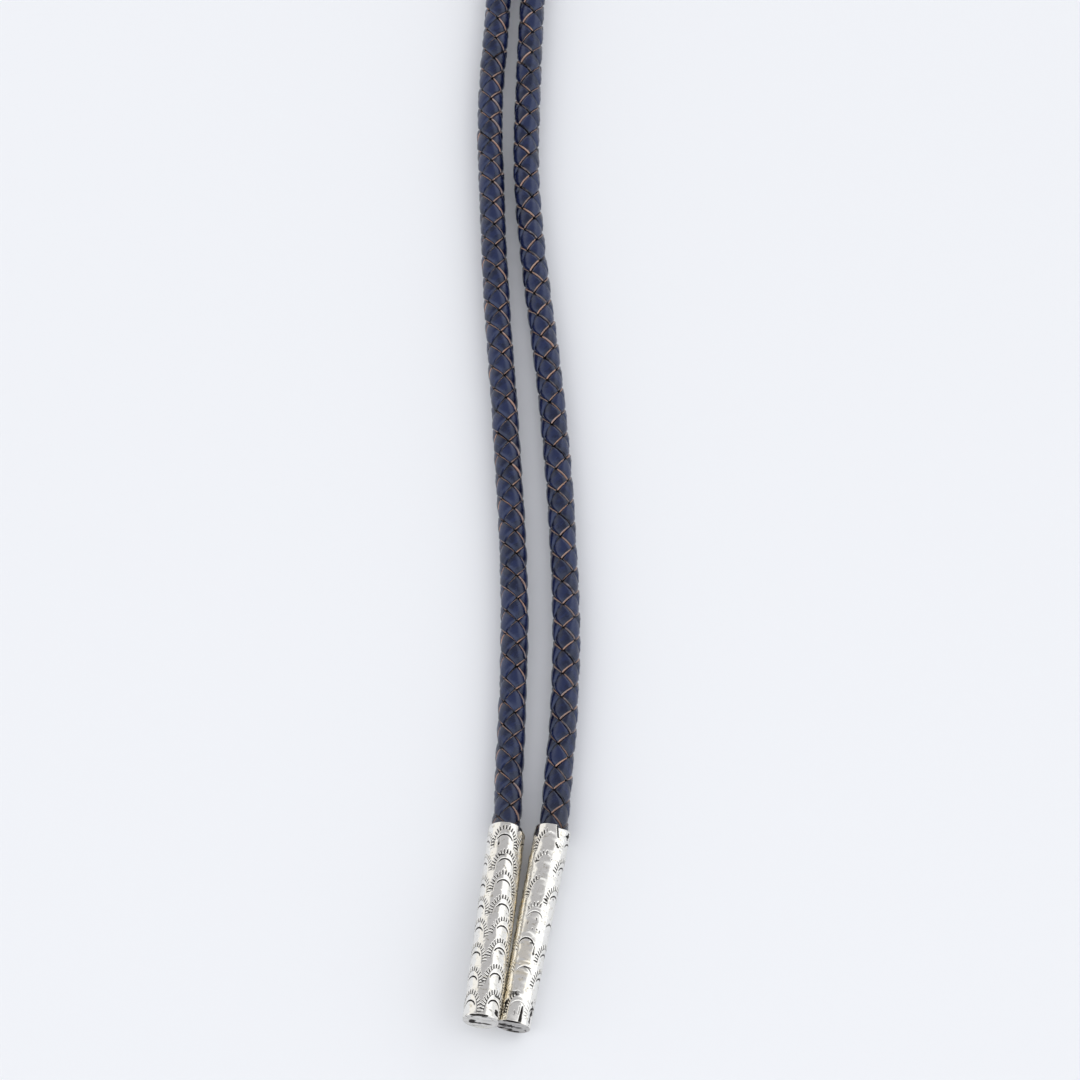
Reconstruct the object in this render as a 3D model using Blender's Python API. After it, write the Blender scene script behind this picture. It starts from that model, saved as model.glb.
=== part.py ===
import math

import bmesh
import bpy
import numpy as np
from mathutils import Matrix, Vector

# A bolo tie laid flat on a table: one braided leather cord, a stamped silver tip on each of its ends,
# and the silver slide that holds its two runs together. Metres. +X is right, +Y runs from the tips
# to the neck loop, +Z is up, and the table's top is z = 0.

# Cord
CORD_DIAMETER = 0.006
CORD_CLEARANCE = 0.0003
CORD_POINT_STEP = 0.0125

# Tips: straight tubes with a rounded shoulder and a flat closed end
TIP_LENGTH = 0.0456
TIP_WALL = 0.0005
TIP_END_THICKNESS = 0.0008
TIP_SHOULDER = 0.0005
TIP_LIP = 0.00015
TIP_GAP = 0.0003

# Plan places of the tips' mouths, and how far each tip leans from -Y towards -X
LEFT_TIP_MOUTH = (-0.0023, -0.1302)
LEFT_TIP_LEAN = math.radians(6.3)
RIGHT_TIP_MOUTH = (0.0078, -0.1303)
RIGHT_TIP_LEAN = math.radians(10.9)

# The right tip's side seam, open at the mouth, with the sheet beside it set back
SEAM_TURN = math.radians(16)
SEAM_NOTCH_WIDTH = 0.0004
SEAM_NOTCH_DEPTH = 0.0026
SEAM_SETBACK = 0.0006

# Slide: a domed oval plate with a keeper soldered behind it
SLIDE_CENTRE_Y = 0.1468
PLATE_WIDTH = 0.048
PLATE_LENGTH = 0.058
PLATE_THICKNESS = 0.0012
PLATE_DOME = 0.0015
PLATE_EDGE_ROUND = 0.0003
KEEPER_LENGTH = 0.016
KEEPER_WALL = 0.0008
KEEPER_CORNER = 0.0020
KEEPER_SINK = 0.0002
CORD_SPACING = 0.009

# Sides of the round pieces
TIP_SIDES = 48
PLATE_SIDES = 64
PLATE_RINGS = 5
BORE_SIDES = 32

CORD_RADIUS = CORD_DIAMETER / 2
BORE_RADIUS = CORD_RADIUS + CORD_CLEARANCE
TIP_RADIUS = BORE_RADIUS + TIP_WALL
KEEPER_AXIS_Z = KEEPER_WALL + BORE_RADIUS
KEEPER_HEIGHT = 2 * KEEPER_AXIS_Z
KEEPER_WIDTH = CORD_SPACING + 2 * KEEPER_AXIS_Z

# The cord's route, its centreline in metres: out of the left tip, up the left run, through the slide,
# round the neck, back through the slide and down the right run into the right tip.
CORD_ROUTE = [
    (-0.00360, -0.1421, 0.00504),
    (-0.00232, -0.1302, 0.00380),
    (-0.00185, -0.1235, 0.00330),
    (-0.00160, -0.1150, 0.00305),
    (-0.00075, -0.0900, 0.00305),
    (-0.00080, -0.0687, 0.00305),
    (-0.00230, -0.0377, 0.00305),
    (-0.00510, 0.0056, 0.00305),
    (-0.00660, 0.0396, 0.00305),
    (-0.00700, 0.0600, 0.00305),
    (-0.00530, 0.0900, 0.00305),
    (-0.00420, 0.1120, 0.00305),
    (-0.00450, 0.1340, 0.00410),
    (-0.00450, 0.1600, 0.00410),
    (-0.00660, 0.1810, 0.00305),
    (-0.01600, 0.2130, 0.00305),
    (-0.02820, 0.2560, 0.00305),
    (-0.03220, 0.2900, 0.00305),
    (-0.02270, 0.3135, 0.00305),
    (0.0, 0.3230, 0.00305),
    (0.02270, 0.3135, 0.00305),
    (0.03220, 0.2900, 0.00305),
    (0.02820, 0.2560, 0.00305),
    (0.01600, 0.2130, 0.00305),
    (0.00660, 0.1810, 0.00305),
    (0.00450, 0.1600, 0.00410),
    (0.00450, 0.1340, 0.00410),
    (0.00400, 0.1120, 0.00305),
    (0.00300, 0.0900, 0.00305),
    (0.00190, 0.0580, 0.00305),
    (0.00180, 0.0400, 0.00305),
    (0.00350, 0.0168, 0.00305),
    (0.00710, -0.0163, 0.00305),
    (0.00960, -0.0480, 0.00305),
    (0.01080, -0.0800, 0.00305),
    (0.01020, -0.1020, 0.00305),
    (0.00910, -0.1155, 0.00305),
    (0.00845, -0.1235, 0.00352),
    (0.00778, -0.1303, 0.00380),
    (0.00550, -0.1421, 0.00380),
]


def clear_scene():
    for obj in list(bpy.data.objects):
        bpy.data.objects.remove(obj, do_unlink=True)


def make_material(name, color, metallic, roughness):
    material = bpy.data.materials.new(name)
    material.use_nodes = True
    shader = material.node_tree.nodes["Principled BSDF"]
    shader.inputs["Base Color"].default_value = (*color, 1.0)
    shader.inputs["Metallic"].default_value = metallic
    shader.inputs["Roughness"].default_value = roughness
    return material


def mesh_object(name, bm, material=None):
    mesh = bpy.data.meshes.new(name)
    bm.to_mesh(mesh)
    bm.free()
    mesh.shade_smooth()
    mesh.set_sharp_from_angle(angle=math.radians(35))
    obj = bpy.data.objects.new(name, mesh)
    bpy.context.collection.objects.link(obj)
    if material:
        mesh.materials.append(material)
    return obj


def hide_as_cutter(obj):
    obj.hide_render = True
    obj.display_type = "WIRE"


def add_boolean(target, other, operation):
    modifier = target.modifiers.new(other.name, "BOOLEAN")
    modifier.operation = operation
    modifier.solver = "EXACT"
    modifier.object = other
    hide_as_cutter(other)


def route_slopes(points):
    # Each point heads along the line between its neighbours. A coordinate that a point shares with a
    # neighbour stays level there, so that straight runs in a bore or on the table stay straight.
    slopes = np.empty_like(points)
    slopes[0] = points[1] - points[0]
    slopes[-1] = points[-1] - points[-2]
    slopes[1:-1] = points[2:] - points[:-2]
    same = points[1:] == points[:-1]
    slopes[1:][same] = 0.0
    slopes[:-1][same] = 0.0
    return slopes / np.linalg.norm(slopes, axis=1)[:, None]


def smooth_route(route, step):
    # One cubic between each two points, then even steps along the whole curve
    points = np.array(route)
    spans = np.linalg.norm(np.diff(points, axis=0), axis=1)
    slopes = route_slopes(points)
    share = np.linspace(0.0, 1.0, 40, endpoint=False)[:, None]
    pieces = []
    for index, span in enumerate(spans):
        start = points[index] * (2 * share**3 - 3 * share**2 + 1)
        leave = slopes[index] * span * (share**3 - 2 * share**2 + share)
        end = points[index + 1] * (3 * share**2 - 2 * share**3)
        arrive = slopes[index + 1] * span * (share**3 - share**2)
        pieces.append(start + leave + end + arrive)
    fine = np.vstack(pieces + [points[-1:]])
    lengths = np.linalg.norm(np.diff(fine, axis=0), axis=1)
    along = np.concatenate(([0.0], np.cumsum(lengths)))
    stops = np.linspace(0.0, along[-1], round(along[-1] / step) + 1)
    return np.stack([np.interp(stops, along, fine[:, axis]) for axis in range(3)], axis=1)


def build_cord(material):
    path = smooth_route(CORD_ROUTE, CORD_POINT_STEP)
    curve = bpy.data.curves.new("cord", "CURVE")
    curve.dimensions = "3D"
    curve.bevel_depth = CORD_RADIUS
    curve.bevel_resolution = 4
    curve.use_fill_caps = True
    spline = curve.splines.new("POLY")
    spline.points.add(len(path) - 1)
    for point, place in zip(spline.points, path):
        point.co = (*place, 1.0)
    spline.use_smooth = True
    curve.materials.append(material)
    cord = bpy.data.objects.new("cord", curve)
    bpy.context.collection.objects.link(cord)
    return cord


def tip_profile():
    # Radius and distance from the mouth: across the closed end, round the shoulder, up the outside,
    # over the lip, and down the bore to the inside of the end
    profile = [(0.0, TIP_LENGTH)]
    for turn in (90, 60, 30, 0):
        angle = math.radians(turn)
        profile.append((
            TIP_RADIUS - TIP_SHOULDER * (1 - math.cos(angle)),
            TIP_LENGTH - TIP_SHOULDER * (1 - math.sin(angle)),
        ))
    profile.append((TIP_RADIUS, TIP_LIP))
    profile.append((TIP_RADIUS - TIP_LIP, 0.0))
    profile.append((BORE_RADIUS, 0.0))
    profile.append((BORE_RADIUS, TIP_LENGTH - TIP_END_THICKNESS))
    profile.append((0.0, TIP_LENGTH - TIP_END_THICKNESS))
    return profile


def turned_tip(name, material):
    # The profile is turned about the tip's own axis: mouth at the origin, end at -Y
    bm = bmesh.new()
    verts = [bm.verts.new((radius, -along, 0.0)) for radius, along in tip_profile()]
    edges = [bm.edges.new(pair) for pair in zip(verts, verts[1:])]
    bmesh.ops.spin(
        bm, geom=verts + edges, cent=(0, 0, 0), axis=(0, 1, 0),
        angle=math.tau, steps=TIP_SIDES, use_merge=True,
    )
    bmesh.ops.remove_doubles(bm, verts=bm.verts, dist=1e-6)
    bmesh.ops.recalc_face_normals(bm, faces=bm.faces)
    return mesh_object(name, bm, material)


def lean_direction(lean, rise=0.0):
    level = math.cos(rise)
    return Vector((-math.sin(lean) * level, -math.cos(lean) * level, math.sin(rise)))


def left_tip_rise():
    # The left tip's closed end rests on the right tip's flank: its axis end stands two radii and a
    # gap from the right tip's axis, and the lowest point of its mouth stays on the table.
    left_end = Vector((*LEFT_TIP_MOUTH, 0)) + TIP_LENGTH * lean_direction(LEFT_TIP_LEAN)
    across = left_end - Vector((*RIGHT_TIP_MOUTH, 0))
    apart = across.cross(lean_direction(RIGHT_TIP_LEAN)).length
    height = math.sqrt(max(0.0, (2 * TIP_RADIUS + TIP_GAP) ** 2 - apart**2))
    reach = math.hypot(TIP_LENGTH, TIP_RADIUS)
    return math.asin((height + TIP_RADIUS) / reach) - math.atan2(TIP_RADIUS, TIP_LENGTH)


def place_tip(tip, mouth, lean, rise):
    tip.rotation_euler = (Matrix.Rotation(-lean, 4, "Z") @ Matrix.Rotation(-rise, 4, "X")).to_euler()
    tip.location = (*mouth, TIP_RADIUS * math.cos(rise))


def seam_cutter(tip):
    # A slot along the seam and a wedge beside it, through the upper wall only
    outside = 2 * TIP_RADIUS
    seam_x = TIP_RADIUS * math.sin(SEAM_TURN)
    setback_slope = SEAM_SETBACK / (TIP_RADIUS - seam_x)
    outline = [
        (seam_x - SEAM_NOTCH_WIDTH, outside),
        (seam_x - SEAM_NOTCH_WIDTH, -SEAM_NOTCH_DEPTH),
        (seam_x, -SEAM_NOTCH_DEPTH),
        (seam_x, -SEAM_SETBACK),
        (outside, setback_slope * (outside - seam_x) - SEAM_SETBACK),
        (outside, outside),
    ]
    bm = bmesh.new()
    face = bm.faces.new([bm.verts.new((x, y, 0.0)) for x, y in outline])
    wall = bmesh.ops.extrude_face_region(bm, geom=[face])
    lifted = [item for item in wall["geom"] if isinstance(item, bmesh.types.BMVert)]
    bmesh.ops.translate(bm, verts=lifted, vec=(0, 0, outside))
    bmesh.ops.recalc_face_normals(bm, faces=bm.faces)
    cutter = mesh_object("seam_cutter", bm)
    cutter.parent = tip
    return cutter


def build_tips(material):
    left = turned_tip("tip_left", material)
    place_tip(left, LEFT_TIP_MOUTH, LEFT_TIP_LEAN, left_tip_rise())
    right = turned_tip("tip_right", material)
    place_tip(right, RIGHT_TIP_MOUTH, RIGHT_TIP_LEAN, 0.0)
    add_boolean(right, seam_cutter(right), "DIFFERENCE")


def plate_point(bm, share, angle, lift):
    # The dome falls off with the square of the way out to the rim
    return bm.verts.new((
        PLATE_WIDTH / 2 * share * math.cos(angle),
        PLATE_LENGTH / 2 * share * math.sin(angle),
        lift - PLATE_DOME * share**2,
    ))


def plate_side(bm, crown):
    # A fan at the crown and rings of quads out to the rim
    turns = [math.tau * index / PLATE_SIDES for index in range(PLATE_SIDES)]
    centre = plate_point(bm, 0.0, 0.0, crown)
    rings = []
    for ring in range(1, PLATE_RINGS + 1):
        rings.append([plate_point(bm, ring / PLATE_RINGS, turn, crown) for turn in turns])
    for index in range(PLATE_SIDES):
        after = (index + 1) % PLATE_SIDES
        bm.faces.new((centre, rings[0][index], rings[0][after]))
        for inner, outer in zip(rings, rings[1:]):
            bm.faces.new((inner[index], outer[index], outer[after], inner[after]))
    return rings[-1]


def build_plate(material):
    # The plate's underside at its crown lies a little below the keeper's top, where the solder is
    underside = KEEPER_HEIGHT - KEEPER_SINK
    bm = bmesh.new()
    lower_rim = plate_side(bm, underside)
    upper_rim = plate_side(bm, underside + PLATE_THICKNESS)
    for index in range(PLATE_SIDES):
        after = (index + 1) % PLATE_SIDES
        bm.faces.new((lower_rim[index], lower_rim[after], upper_rim[after], upper_rim[index]))
    bmesh.ops.recalc_face_normals(bm, faces=bm.faces)
    plate = mesh_object("slide", bm, material)
    rim_round = plate.modifiers.new("rim_round", "BEVEL")
    rim_round.width = PLATE_EDGE_ROUND
    rim_round.segments = 2
    rim_round.limit_method = "ANGLE"
    rim_round.angle_limit = math.radians(45)
    return plate


def build_keeper():
    bm = bmesh.new()
    bmesh.ops.create_cube(bm, size=1.0)
    bmesh.ops.scale(bm, vec=(KEEPER_WIDTH, KEEPER_LENGTH, KEEPER_HEIGHT), verts=bm.verts)
    bmesh.ops.translate(bm, vec=(0, 0, KEEPER_HEIGHT / 2), verts=bm.verts)
    long_edges = [
        edge for edge in bm.edges if abs(edge.verts[0].co.y - edge.verts[1].co.y) > KEEPER_LENGTH / 2
    ]
    bmesh.ops.bevel(
        bm, geom=long_edges, offset=KEEPER_CORNER, segments=4, profile=0.5, affect="EDGES"
    )
    return mesh_object("keeper", bm)


def build_bore(name, x):
    bm = bmesh.new()
    bmesh.ops.create_cone(
        bm, cap_ends=True, segments=BORE_SIDES, radius1=BORE_RADIUS, radius2=BORE_RADIUS,
        depth=2 * KEEPER_LENGTH, matrix=Matrix.Rotation(math.pi / 2, 4, "X"),
    )
    bore = mesh_object(name, bm)
    bore.location = (x, 0, KEEPER_AXIS_Z)
    return bore


def build_slide(material):
    plate = build_plate(material)
    plate.location.y = SLIDE_CENTRE_Y
    keeper = build_keeper()
    keeper.parent = plate
    add_boolean(plate, keeper, "UNION")
    for name, side in (("bore_left", -1), ("bore_right", 1)):
        bore = build_bore(name, side * CORD_SPACING / 2)
        bore.parent = plate
        add_boolean(plate, bore, "DIFFERENCE")


def main():
    clear_scene()
    leather = make_material("navy_leather", (0.035, 0.045, 0.095), 0.0, 0.55)
    silver = make_material("stamped_silver", (0.86, 0.85, 0.83), 1.0, 0.24)
    polished = make_material("polished_silver", (0.88, 0.87, 0.85), 1.0, 0.18)
    build_cord(leather)
    build_tips(silver)
    build_slide(polished)


main()
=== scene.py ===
import math

import bpy
import numpy as np
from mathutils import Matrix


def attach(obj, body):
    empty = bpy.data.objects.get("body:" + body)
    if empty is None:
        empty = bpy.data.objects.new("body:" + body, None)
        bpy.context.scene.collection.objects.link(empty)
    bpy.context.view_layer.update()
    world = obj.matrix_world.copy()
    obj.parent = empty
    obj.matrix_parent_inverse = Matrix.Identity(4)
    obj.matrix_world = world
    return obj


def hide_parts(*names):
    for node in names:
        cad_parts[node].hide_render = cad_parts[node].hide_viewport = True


# Bolo tie on a pale table: a braided navy leather cord, two stamped silver tips and a polished slide.
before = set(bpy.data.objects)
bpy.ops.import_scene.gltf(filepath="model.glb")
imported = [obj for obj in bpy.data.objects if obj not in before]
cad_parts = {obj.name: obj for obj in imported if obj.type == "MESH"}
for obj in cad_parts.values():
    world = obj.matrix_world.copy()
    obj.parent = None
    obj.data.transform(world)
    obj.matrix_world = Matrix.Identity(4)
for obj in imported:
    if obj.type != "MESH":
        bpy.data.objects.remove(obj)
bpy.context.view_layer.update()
print("frame loaded:", ", ".join(sorted(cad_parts)))

mm = 0.001

view = {
    "place": (0.005, -0.4328, 0.678),  # metres, same frame as the CAD
    "tiltFromDown": 29.0,  # degrees
    "lens": 114.6,
    "sensor": 36.0,
    "clip": (0.01, 50.0),
}

cameraData = bpy.data.cameras.new("photoCamera")
cameraData.lens = view["lens"]
cameraData.sensor_width = view["sensor"]
cameraData.clip_start, cameraData.clip_end = view["clip"]
photoCamera = bpy.data.objects.new("photoCamera", cameraData)
photoCamera.location = view["place"]
photoCamera.rotation_euler = (math.radians(view["tiltFromDown"]), 0.0, 0.0)
bpy.context.scene.collection.objects.link(photoCamera)
bpy.context.scene.camera = photoCamera
bpy.context.scene.view_settings.view_transform = "Standard"


# A new node, its plain inputs set by name, and its sockets fed by (node, output) pairs or sockets.
def addNode(tree, kind, values=None, links=None, **settings):
    node = tree.nodes.new(kind)
    for key, value in settings.items():
        setattr(node, key, value)
    for key, value in (values or {}).items():
        node.inputs[key].default_value = value
    for key, source in (links or {}).items():
        tree.links.new(source, node.inputs[key])
    return node


# An empty material with its principled shader, ready for links.
def newMaterial(name, **values):
    material = bpy.data.materials.new(name)
    material.use_nodes = True
    tree = material.node_tree
    tree.nodes.clear()
    output = tree.nodes.new("ShaderNodeOutputMaterial")
    shader = tree.nodes.new("ShaderNodeBsdfPrincipled")
    for key, value in values.items():
        shader.inputs[key.replace("_", " ")].default_value = value
    tree.links.new(shader.outputs["BSDF"], output.inputs["Surface"])
    return material, tree, shader


# A colour ramp with its stops given as (position, colour).
def addRamp(tree, source, stops):
    node = tree.nodes.new("ShaderNodeValToRGB")
    elements = node.color_ramp.elements
    while len(elements) < len(stops):
        elements.new(0.5)
    for element, (position, colour) in zip(elements, stops):
        element.position = position
        element.color = (*colour, 1.0)
    tree.links.new(source, node.inputs["Fac"])
    return node.outputs["Color"]


# A piece's own coordinates, which its patterns are laid out in.
def ownPlace(tree):
    return addNode(tree, "ShaderNodeTexCoord").outputs["Object"]


# Coordinates stretched by a scale for each axis, and turned.
def scaled(tree, place, scale, rotation=(0.0, 0.0, 0.0)):
    node = addNode(tree, "ShaderNodeMapping", {"Scale": scale, "Rotation": rotation}, {"Vector": place})
    return node.outputs["Vector"]


# Cloudy noise between 0 and 1.
def noise(tree, place, scale, detail, roughness=0.5):
    node = addNode(tree, "ShaderNodeTexNoise", {
        "Scale": scale, "Detail": detail, "Roughness": roughness}, {"Vector": place})
    return node.outputs["Fac"]


# A number that the mesh carries at each point.
def readFact(tree, name):
    return addNode(tree, "ShaderNodeAttribute", attribute_name=name).outputs["Fac"]


# Arithmetic on numbers and sockets, in the order that the operation reads them.
def calculate(tree, operation, *terms):
    node = addNode(tree, "ShaderNodeMath", operation=operation)
    for socket, term in zip(node.inputs, terms):
        if isinstance(term, float):
            socket.default_value = term
        else:
            tree.links.new(term, socket)
    return node.outputs["Value"]


# Fine relief from a height, its depth given in mm.
def addBump(tree, shader, height, strength, depth):
    bump = addNode(tree, "ShaderNodeBump", {"Strength": strength, "Distance": depth * mm}, {"Height": height})
    tree.links.new(bump.outputs["Normal"], shader.inputs["Normal"])


# A smooth step from one number to another as the source goes from low to high.
def smoothBetween(tree, source, low, high, start=0.0, end=1.0):
    node = addNode(tree, "ShaderNodeMapRange", {
        "From Min": low, "From Max": high, "To Min": start, "To Max": end}, {"Value": source},
        interpolation_type="SMOOTHSTEP")
    return node.outputs["Result"]


# One colour over another by a mask.
def layOver(tree, mask, under, over):
    node = addNode(tree, "ShaderNodeMix", data_type="RGBA")
    tree.links.new(mask, node.inputs["Factor"])
    for key, colour in (("A", under), ("B", over)):
        if isinstance(colour, tuple):
            node.inputs[key].default_value = (*colour, 1.0)
        else:
            tree.links.new(colour, node.inputs[key])
    return node.outputs["Result"]


# A mesh object from whole arrays of points and faces, with one float attribute for each name.
def makePiece(name, points, faces, material, attributes=None, sharp=None):
    mesh = bpy.data.meshes.new(name)
    mesh.from_pydata(points.tolist(), [], faces)
    mesh.polygons.foreach_set("use_smooth", np.ones(len(mesh.polygons), bool))
    for key, values in (attributes or {}).items():
        layer = mesh.attributes.new(key, "FLOAT", "POINT")
        layer.data.foreach_set("value", np.asarray(values, np.float32).ravel())
    if sharp is not None:
        ends = np.empty(len(mesh.edges) * 2, np.int64)
        mesh.edges.foreach_get("vertices", ends)
        ends = ends.reshape(-1, 2)
        layer = mesh.attributes.new("sharp_edge", "BOOLEAN", "EDGE")
        layer.data.foreach_set("value", (sharp[ends[:, 0]] & sharp[ends[:, 1]]).astype(bool))
    mesh.materials.append(material)
    mesh.update()
    piece = bpy.data.objects.new(name, mesh)
    bpy.context.scene.collection.objects.link(piece)
    return piece


# Quads of a grid with its columns closed round: corner (i, j) joins (i, j+1), (i+1, j+1), (i+1, j).
def ringQuads(rows, columns, first=0, flip=False):
    i, j = np.meshgrid(np.arange(rows - 1), np.arange(columns), indexing="ij")
    after = (j + 1) % columns
    quads = np.stack([
        i * columns + j, i * columns + after, (i + 1) * columns + after, (i + 1) * columns + j,
    ], axis=-1).reshape(-1, 4) + first
    return quads[:, ::-1] if flip else quads


# A tube of such quads with a face over each of its two ends.
def closedTube(rows, columns, first=0, flip=False):
    ends = [[first + k for k in range(columns)][::-1],
            [first + (rows - 1) * columns + k for k in range(columns)]]
    if flip:
        ends = [end[::-1] for end in ends]
    return ringQuads(rows, columns, first, flip).tolist() + ends


table = {
    "size": 6.0,  # metres
    "colour": (0.87, 0.885, 0.915),
    "shade": 0.985,  # how dark its clouds are
    "clouds": (2.2, 2.0),  # scale and detail of their noise
    "roughness": 0.55,
    "shine": 0.25,
}

tableMaterial, tree, shader = newMaterial(
    "paleTable", Roughness=table["roughness"], Specular_IOR_Level=table["shine"])
paper = addRamp(tree, noise(tree, ownPlace(tree), *table["clouds"]), [
    (0.3, tuple(c * table["shade"] for c in table["colour"])), (0.7, table["colour"])])
tree.links.new(paper, shader.inputs["Base Color"])
half = table["size"] / 2
tableTop = makePiece(
    "tableTop",
    np.array([(-half, -half, 0), (half, -half, 0), (half, half, 0), (-half, half, 0)], float),
    [(0, 1, 2, 3)], tableMaterial)

# Soft studio light by direction: a grey gap overhead between a warm white wall on the left and a
# bright panel on the right, a bright front, and the dark of the camera itself.
studio = {
    "overhead": (0.53, 0.525, 0.54),
    "leftWall": (1.02, 1.0, 0.965),
    "rightPanel": (1.3, 1.3, 1.3),
    "rightFar": (0.85, 0.86, 0.87),
    "front": (1.36, 1.37, 1.38),
    "cameraDark": (0.16, 0.16, 0.24),
    "leftEdge": -0.65,  # radians from straight up, to the right
    "rightEdge": 0.6,
    "soft": 0.1,
    "rightFade": (1.0, 1.5),  # where the right panel gives way to its far part
    "skew": (0.4, 0.6, 0.45, 0.0),  # from y to y, and how far the left edge leans there
    "frontEdge": (0.36, 0.1),  # y where the front begins and is whole
    "cameraCone": (0.42, 0.28),  # radians, outer and inner
}

world = bpy.data.worlds.new("studioTent")
bpy.context.scene.world = world
world.use_nodes = True
tree = world.node_tree
backdrop = tree.nodes["Background"]
place = addNode(tree, "ShaderNodeTexCoord").outputs["Generated"]
split = addNode(tree, "ShaderNodeSeparateXYZ", None, {"Vector": place})
across = calculate(tree, "ARCTAN2", split.outputs["X"], split.outputs["Z"])
skewed = calculate(tree, "ADD", across, smoothBetween(tree, split.outputs["Y"], *studio["skew"]))
leftMask = smoothBetween(
    tree, skewed, studio["leftEdge"] - studio["soft"], studio["leftEdge"] + studio["soft"], 1.0, 0.0)
rightMask = smoothBetween(
    tree, across, studio["rightEdge"] - studio["soft"], studio["rightEdge"] + studio["soft"])
farMask = smoothBetween(tree, across, *studio["rightFade"])
frontMask = smoothBetween(tree, split.outputs["Y"], *studio["frontEdge"])
toCamera = np.array(view["place"]) / np.linalg.norm(view["place"])
facing = addNode(tree, "ShaderNodeVectorMath", {1: tuple(toCamera)}, {0: place}, operation="DOT_PRODUCT")
cameraMask = smoothBetween(tree, facing.outputs["Value"], *np.cos(studio["cameraCone"]).tolist())
sky = layOver(tree, leftMask, studio["overhead"], studio["leftWall"])
sky = layOver(tree, rightMask, sky, layOver(tree, farMask, studio["rightPanel"], studio["rightFar"]))
sky = layOver(tree, frontMask, sky, studio["front"])
sky = layOver(tree, cameraMask, sky, studio["cameraDark"])
tree.links.new(sky, backdrop.inputs["Color"])
backdrop.inputs["Strength"].default_value = 1.0
print("camera, table and light ready")

cordRoute = [  # metres, from inside the left tip, up, round the neck and down into the right tip
    (-0.0036, -0.1421, 0.00504), (-0.00232, -0.1302, 0.0038), (-0.00185, -0.1235, 0.0033),
    (-0.0016, -0.115, 0.00305), (-0.00075, -0.09, 0.00305), (-0.0008, -0.0687, 0.00305),
    (-0.0023, -0.0377, 0.00305), (-0.0051, 0.0056, 0.00305), (-0.0066, 0.0396, 0.00305),
    (-0.007, 0.06, 0.00305), (-0.0053, 0.09, 0.00305), (-0.0042, 0.112, 0.00305),
    (-0.0045, 0.134, 0.0041), (-0.0045, 0.16, 0.0041), (-0.0066, 0.181, 0.00305),
    (-0.016, 0.213, 0.00305), (-0.0282, 0.256, 0.00305), (-0.0322, 0.29, 0.00305),
    (-0.0227, 0.3135, 0.00305), (0.0, 0.323, 0.00305), (0.0227, 0.3135, 0.00305),
    (0.0322, 0.29, 0.00305), (0.0282, 0.256, 0.00305), (0.016, 0.213, 0.00305),
    (0.0066, 0.181, 0.00305), (0.0045, 0.16, 0.0041), (0.0045, 0.134, 0.0041),
    (0.004, 0.112, 0.00305), (0.003, 0.09, 0.00305), (0.0019, 0.058, 0.00305),
    (0.0018, 0.04, 0.00305), (0.0035, 0.0168, 0.00305), (0.0071, -0.0163, 0.00305),
    (0.0096, -0.048, 0.00305), (0.0108, -0.08, 0.00305), (0.0102, -0.102, 0.00305),
    (0.0091, -0.1155, 0.00305), (0.00845, -0.1235, 0.00352), (0.00778, -0.1303, 0.0038),
    (0.0055, -0.1421, 0.0038),
]

braid = {
    "diameter": 6.0 * mm,
    "midRadius": 2.95 * mm,  # where a strand's width is measured
    "outRadius": 3.2 * mm,  # the furthest out that a strand reaches
    "seenTop": 0.118,  # y where the photo's edge cuts the runs
    "leftRepeat": 5.62 * mm, "leftCross": -83.2 * mm,  # a right-handed strand lies over at this y
    "rightRepeat": 5.7 * mm, "rightCross": -73.45 * mm,
    # how the repeats lengthen up the seen runs: y in mm, share of the repeat above
    "leftGrowth": ((-83.0, 1.0), (-62.0, 1.02), (-22.0, 1.05), (22.0, 1.08), (118.0, 1.08)),
    "rightGrowth": ((-83.0, 1.0), (-62.0, 1.017), (-22.0, 1.042), (22.0, 1.065), (118.0, 1.065)),
    # slow twist of the whole braid up the seen runs: y in mm, degrees
    "leftTwist": ((-60.0, 0.0), (-20.0, -5.0), (50.0, -11.0), (118.0, -11.0)),
    "rightTwist": ((-10.0, 0.0), (18.0, 16.0), (49.0, 30.0), (118.0, 32.0)),
    "turn": 15.0,  # degrees from the top to the column of right-handed crossings
    "sway": 0.05 * mm,
    "lift": 0.04 * mm,
    "tilt": 0.1 * mm,
    "seed": 11,
    "step": 0.5 * mm,  # between the points of its centre line
    "perCrossing": 60.0,  # degrees wound from one crossing to the next
    "ends": 1.7 * mm,  # where the strands stop, short of the cord's ends
    "seenPast": 6.0 * mm,  # how far past the photo's edge they keep their full detail
    "lying": 0.62,  # crossings from the middle of a strand's face to where it dives
    "liftMost": (-0.08 * mm, 0.04 * mm),
    "tiltMost": 0.2 * mm,
    "toneSpread": 0.09,  # how much one cut edge differs from the next
    "sunk": (3.16 * mm, 1.0 * mm),  # radius where the hollows' painted shade begins, and the depth over which it darkens
    "dirtReach": 9.0 * mm,  # from a tip's mouth
    "mouths": (-130.2 * mm, 130.3 * mm),
    "toRight": (0.42, 0.16),  # shares of the length: where the right run's tones begin, and their fade
    "coreRadius": 1.75 * mm, "coreEnds": 0.4 * mm, "coreRings": 260,
}
# Strand section, in mm: place across it and depth under its face
strandSection = np.array([
    (-2.08, -1.05), (-2.16, -0.46), (-1.82, -0.15), (-0.8, 0.0),
    (0.8, 0.0), (1.82, -0.15), (2.16, -0.46), (2.08, -1.05),
]) * mm
cutSide = np.array([1, 1, 0, 0, 0, 0, 1, 1], float)
sectionCount = len(strandSection)
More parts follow.
